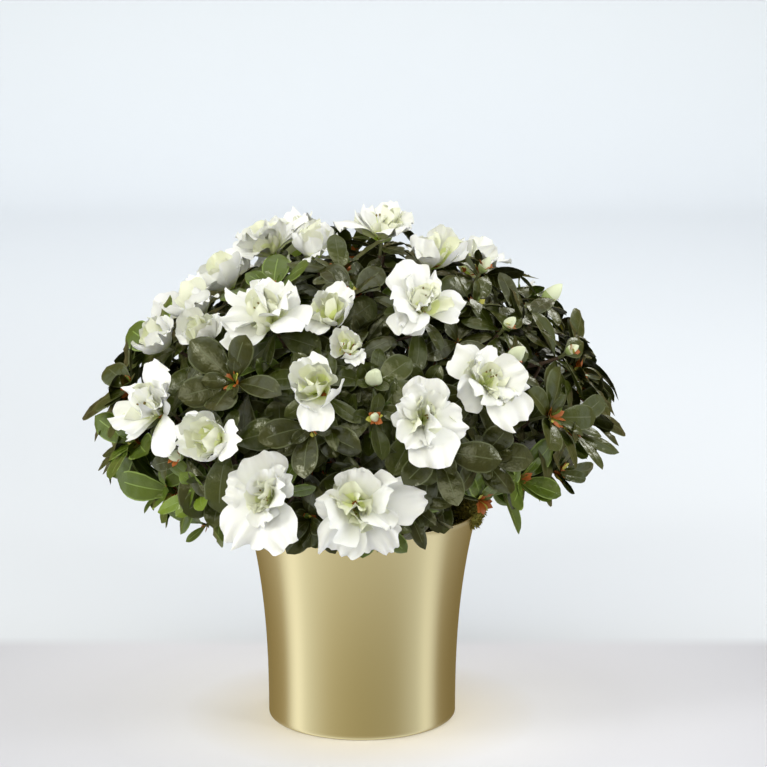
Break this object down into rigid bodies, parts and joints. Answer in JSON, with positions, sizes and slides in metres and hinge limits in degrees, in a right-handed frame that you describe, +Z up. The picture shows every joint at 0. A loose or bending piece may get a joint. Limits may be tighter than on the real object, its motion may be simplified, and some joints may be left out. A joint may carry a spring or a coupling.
{
  "type": "potted azalea shrub",
  "caption": "Flowering azalea shrub with double white blooms and buds over dark leaf whorls, in a flared gold-coloured pot with moss on the soil.",
  "frame": {"origin": "centre of the pot's flat underside", "axes": "+Z up along the pot's axis, -Y towards the front of the plant, +X to its right as seen from the front"},
  "size_m": [0.382, 0.3798, 0.36],
  "materials": {
    "pot_metal": "satin brushed gold-coloured metal",
    "soil": "damp dark peat with crumbs of bark",
    "moss": "dry golden green cushion moss",
    "bark": "thin grey brown bark, smooth on young twigs",
    "leaf": "leathery dark green leaf with a soft sheen",
    "petal": "matt white petal with a faint green throat"
  },
  "bodies": {
    "root": {"pot": "pot_metal", "soil": "soil", "moss": "moss", "trunk": "bark", "bough_upper_1": "bark", "bough_upper_2": "bark", "bough_upper_3": "bark", "bough_upper_4": "bark", "bough_upper_5": "bark", "bough_lower_1": "bark", "bough_lower_2": "bark", "bough_lower_3": "bark", "bough_lower_4": "bark", "bough_lower_5": "bark", "bough_lower_6": "bark", "bough_lower_7": "bark", "foliage_top": "leaf", "foliage_upper_1": "leaf", "foliage_upper_2": "leaf", "foliage_upper_3": "leaf", "foliage_upper_4": "leaf", "foliage_upper_5": "leaf", "foliage_lower_1": "leaf", "foliage_lower_2": "leaf", "foliage_lower_3": "leaf", "foliage_lower_4": "leaf", "foliage_lower_5": "leaf", "foliage_lower_6": "leaf", "foliage_lower_7": "leaf"}
  },
  "joints": []
}
